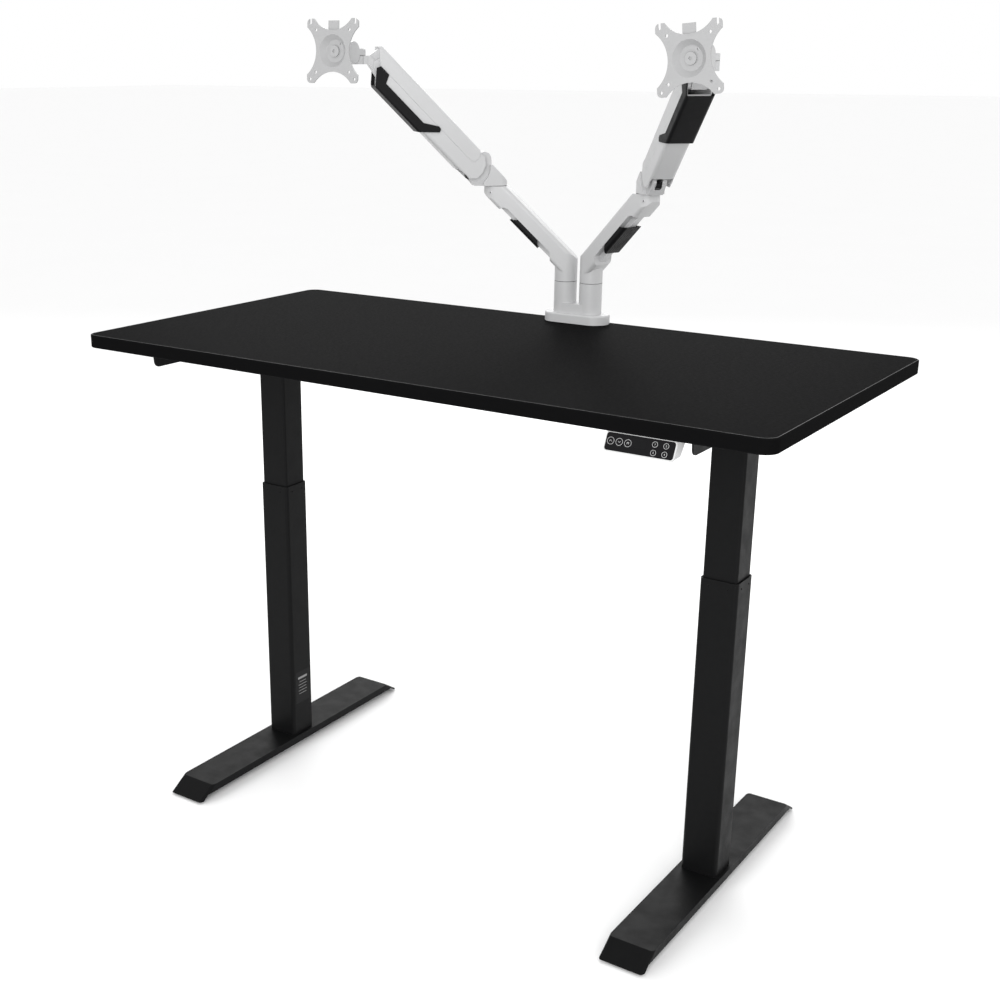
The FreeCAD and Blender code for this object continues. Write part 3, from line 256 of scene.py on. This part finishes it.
def dress_nodes():
    """Gives every CAD node the finished surface of its slot, except the screen plates and hub screws, which get a
    darker copy of the arm lacquer as painted shade.
    """
    for name, obj in frame["nodes"].items():
        material = SHADED_ARM_GREY if name.endswith(PAINTED_SHADE_NODES) else MATERIALS[SLOT_OF[name]]
        if not obj.material_slots:
            obj.data.materials.append(material)
        for slot in obj.material_slots:
            slot.material = material


# ---------------------------------------------------------------- detail pieces

def mesh_object(name, mesh_maker, material, place=None):
    """Object from a bmesh filled by mesh_maker(bm), its vertices carried by place."""
    bm = bmesh.new()
    mesh_maker(bm)
    if place is not None:
        bmesh.ops.transform(bm, matrix=place, verts=bm.verts)
    bmesh.ops.recalc_face_normals(bm, faces=bm.faces)
    mesh = bpy.data.meshes.new(name)
    bm.to_mesh(mesh)
    bm.free()
    mesh.materials.append(material)
    obj = bpy.data.objects.new(name, mesh)
    bpy.context.scene.collection.objects.link(obj)
    return obj


def lathe(bm, profile, steps=48):
    """Turned ring or disc: closed profile of (radius, height) points round Z."""
    loops = []
    for step in range(steps):
        turn = 2 * math.pi * step / steps
        loops.append([bm.verts.new((r * math.cos(turn), r * math.sin(turn), z))
                      for r, z in profile])
    count = len(profile)
    for step in range(steps):
        here, there = loops[step], loops[(step + 1) % steps]
        for index in range(count):
            after = (index + 1) % count
            bm.faces.new((here[index], there[index], there[after], here[after]))


def slab(bm, outline, low, high):
    """Flat plate: a closed outline of (x, y) points between two heights."""
    bottom = [bm.verts.new((x, y, low)) for x, y in outline]
    top = [bm.verts.new((x, y, high)) for x, y in outline]
    bm.faces.new(list(reversed(bottom)))
    bm.faces.new(top)
    count = len(outline)
    for index in range(count):
        after = (index + 1) % count
        bm.faces.new((bottom[index], bottom[after], top[after], top[index]))


def rounded_outline(wide, high, radius, middle=(0.0, 0.0), steps=6):
    points = []
    for corner, (sx, sy) in enumerate(((1, 1), (-1, 1), (-1, -1), (1, -1))):
        for step in range(steps + 1):
            turn = math.radians(90 * corner + 90 * step / steps)
            points.append((middle[0] + sx * (wide / 2 - radius) + radius * math.cos(turn),
                           middle[1] + sy * (high / 2 - radius) + radius * math.sin(turn)))
    return points


def frame_strip(bm, outer, inner, low, high):
    """Thin closed strip between two outlines that have the same number of points."""
    rows = [[bm.verts.new((x, y, z)) for x, y in line]
            for line, z in ((outer, low), (outer, high), (inner, high), (inner, low))]
    count = len(outer)
    for index in range(count):
        after = (index + 1) % count
        for first, second in zip(rows, rows[1:] + rows[:1]):
            bm.faces.new((first[index], first[after], second[after], second[index]))


def ring_profile(inner, outer, low, high, soft):
    """Section of a flat ring with eased outer edges."""
    return [(inner, low), (outer - soft, low), (outer, low + soft), (outer, high - soft),
            (outer - soft, high), (inner, high)]


def add_seams():
    """Black bearing washers in the gaps of the shoulders, elbows and heads."""
    for side in SIDES:
        seats = ((f"{side}_shoulder_swivel", 0.0095, STEM_RADIUS - 0.0002, "lift"),
                 (f"{side}_elbow_swivel", 0.0085, STEM_RADIUS - 0.0004, f"{side}_lower"),
                 (f"{side}_head_swivel", 0.0065, 0.0166, f"{side}_tip"))
        for joint, inner, outer, body in seats:
            at = Vector(JOINTS[joint]["pos_m"])
            ring = mesh_object(
                f"{joint}_washer",
                lambda bm: lathe(bm, ring_profile(inner, outer, 0.0001, 0.0009, 0.0002)),
                WASHER_AND_SHADE_BLACK, Matrix.Translation(at))
            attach(ring, body)


def add_set_screws():
    """Socket set screw in the front of each elbow boss, which sets the elbow's friction."""
    profile = [(0.0013, -0.0006), (0.0024, -0.0006), (0.0028, -0.0002), (0.0028, 0.0004),
               (0.0024, 0.0006), (0.0013, 0.0006)]
    # The socket is a flat black disc on the screw's face: painted shade standing in for the hex socket's hollow.
    socket = [(0.0, 0.0001), (0.00135, 0.0001), (0.00135, 0.0003), (0.0, 0.0003)]
    for side in SIDES:
        at = Vector(JOINTS[f"{side}_elbow_swivel"]["pos_m"])
        out = Vector((0.1, -1.0, 0.0)).normalized()
        turn = out.to_track_quat("Z", "Y").to_matrix().to_4x4()
        spot = at + out * (STEM_RADIUS - 0.0001) + Vector((0, 0, -0.012))
        place = Matrix.Translation(spot) @ turn
        for name, shape, material in (("screw", profile, MATERIALS["steel"]),
                                      ("socket", socket, WASHER_AND_SHADE_BLACK)):
            piece = mesh_object(f"{side}_elbow_set_{name}",
                                lambda bm, shape=shape: lathe(bm, shape, 32), material, place)
            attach(piece, f"{side}_lower")


def add_edge_line():
    """Thin lighter strip all round the top, just inside the edge band: a painted highlight for the light along the
    top's edge.
    """
    low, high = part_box("desktop")
    middle = ((low[0] + high[0]) / 2, (low[1] + high[1]) / 2)
    wide, deep = high[0] - low[0], high[1] - low[1]
    outer, inner = (
        rounded_outline(wide - 2 * inset, deep - 2 * inset, TOP_CORNER - inset, middle, 10)
        for inset in (0.0021, 0.0031))
    line = mesh_object(
        "painted_edge_highlight_strip",
        lambda bm: frame_strip(bm, outer, inner, high[2] - 0.0002, high[2] + 0.00005), PAINTED_EDGE_HIGHLIGHT)
    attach(line, "lift")


def keypad_place():
    """Matrix of the keypad's face: X to the right, Y up the face, Z out of it."""
    low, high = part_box("keypad_panel")
    middle = (Vector(low) + Vector(high)) / 2
    right = Vector((1, 0, 0))
    up = Vector((0, math.sin(KEYPAD_LEAN), math.cos(KEYPAD_LEAN)))
    out = right.cross(up)
    turn = Matrix((right, up, out)).transposed().to_4x4()
    return Matrix.Translation(middle + out * 0.00058) @ turn


def arrow(bm, across, up, size, way):
    """Chevron that points up (way 1) or down (way -1)."""
    arm = size * 0.28
    outline = [(across - size, up - way * size * 0.35), (across, up + way * size * 0.65),
               (across + size, up - way * size * 0.35),
               (across + size, up - way * (size * 0.35 + arm)),
               (across, up + way * (size * 0.65 - arm)),
               (across - size, up - way * (size * 0.35 + arm))]
    slab(bm, outline, 0.0, 0.00022)


def key_rings():
    """Places of the round keys on the panel: (across, up, ring radius)."""
    left = [(-0.0487 + step * 0.0144, 0.001, 0.0058) for step in range(3)]
    right = [(x, y, 0.0045) for y in (0.0058, -0.0072) for x in (0.0239, 0.0422)]
    return left, right


def digit(text, across, up, size):
    """Plain numeral, turned into a mesh piece."""
    curve = bpy.data.curves.new(f"numeral_{text}", "FONT")
    curve.body = text
    curve.size = size
    curve.align_x = "CENTER"
    curve.align_y = "CENTER"
    curve.extrude = 0.0001
    obj = bpy.data.objects.new(f"numeral_{text}", curve)
    bpy.context.scene.collection.objects.link(obj)
    bpy.context.view_layer.update()
    mesh = bpy.data.meshes.new_from_object(obj.evaluated_get(
        bpy.context.evaluated_depsgraph_get()))
    bpy.data.objects.remove(obj)
    mesh.transform(keypad_place() @ Matrix.Translation((across, up, 0.0001)))
    mesh.materials.clear()
    mesh.materials.append(WHITE_PRINT)
    made = bpy.data.objects.new(f"key_numeral_{text}", mesh)
    bpy.context.scene.collection.objects.link(made)
    return made


def add_keypad_print():
    """Printed key rings, arrows and numerals, and the display window."""
    place = keypad_place()
    left, right = key_rings()
    made = []

    def rings(bm):
        for across, up, radius in left + right:
            part = bmesh.new()
            lathe(part, ring_profile(radius - 0.0005, radius, 0.0, 0.00025, 0.00005), 40)
            bmesh.ops.translate(part, vec=(across, up, 0), verts=part.verts)
            scrap = bpy.data.meshes.new("scrap")
            part.to_mesh(scrap)
            part.free()
            bm.from_mesh(scrap)
            bpy.data.meshes.remove(scrap)

    def arrows(bm):
        arrow(bm, left[0][0], left[0][1], 0.0021, 1)
        arrow(bm, left[1][0], left[1][1], 0.0021, -1)

    made.append(mesh_object("key_rings", rings, WHITE_PRINT, place))
    made.append(mesh_object("key_arrows", arrows, WHITE_PRINT, place))
    made.append(mesh_object(
        "display_window",
        lambda bm: slab(bm, rounded_outline(0.024, 0.0135, 0.0015, (-0.002, 0.003)), 0.0, 0.0001),
        LABEL, place))
    made.append(digit("M", left[2][0], left[2][1], 0.005))
    for index, (across, up, _) in enumerate(right, start=1):
        made.append(digit(str(index), across, up, 0.0044))
    for piece in made:
        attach(piece, "lift")


def add_label():
    """Plain label with generic bars on the inner side of the left column."""
    low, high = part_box("left_outer_column")
    turn = Matrix(((0, 0, 1), (1, 0, 0), (0, 1, 0))).to_4x4()
    place = Matrix.Translation((high[0] + 0.00002, (low[1] + high[1]) / 2, 0.139)) @ turn
    plate = mesh_object(
        "label_plate", lambda bm: slab(bm, rounded_outline(0.046, 0.074, 0.003), 0.0, 0.0002),
        LABEL, place)

    def bars(bm):
        slab(bm, rounded_outline(0.03, 0.005, 0.0012, (0.0, 0.022)), 0.0002, 0.0003)
        for step, wide in enumerate((0.022, 0.027, 0.024, 0.028, 0.025)):
            row = rounded_outline(wide, 0.0011, 0.0004, (0.0, 0.0125 - step * 0.007))
            slab(bm, row, 0.0002, 0.0003)

    lines = mesh_object("label_bars", bars, GREY_PRINT, place)
    for piece in (plate, lines):
        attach(piece, "base")


# ---------------------------------------------------------------- studio

def add_floor():
    def sheet(bm):
        corners = [bm.verts.new((x, y, 0.0)) for x, y in ((-60, -60), (60, -60), (60, 60),
                                                           (-60, 60))]
        bm.faces.new(corners)
    floor = mesh_object("studio_floor", sheet, floor_surface())


def area_light(name, at, aim, size, power):
    data = bpy.data.lights.new(name, "AREA")
    data.shape = "RECTANGLE"
    data.size, data.size_y = size
    data.energy = power
    lamp = bpy.data.objects.new(name, data)
    lamp.location = at
    lamp.rotation_euler = (Vector(aim) - Vector(at)).to_track_quat("-Z", "Y").to_euler()
    bpy.context.scene.collection.objects.link(lamp)


def add_lights():
    area_light("overhead", (-1.8, 3.0, 3.1), (0, 0, 0.3), (3.6, 2.6), 95)
    area_light("front_right", (1.8, -4.2, 2.0), (0, 0.3, 1.1), (2.6, 2.2), 105)
    world = bpy.data.worlds.new("studio")
    world.use_nodes = True
    background = world.node_tree.nodes["Background"]
    background.inputs["Color"].default_value = (1.0, 1.0, 1.0, 1.0)
    background.inputs["Strength"].default_value = 1.0
    bpy.context.scene.world = world
    bpy.context.scene.view_settings.view_transform = "Standard"


def add_camera():
    """Camera at standing height, to the front right of the desk."""
    data = bpy.data.cameras.new("camera")
    data.sensor_width = 36.0
    data.lens = 50.8
    data.shift_x = 0.0777
    data.shift_y = 0.0324
    camera = bpy.data.objects.new("camera", data)
    camera.location = CAMERA_AT
    camera.rotation_euler = (math.pi / 2 - CAMERA_DOWN, 0.0, CAMERA_TURN)
    bpy.context.scene.collection.objects.link(camera)
    bpy.context.scene.camera = camera


add_camera()
dress_nodes()
add_seams()
add_set_screws()
add_edge_line()
add_keypad_print()
add_label()
add_floor()
add_lights()
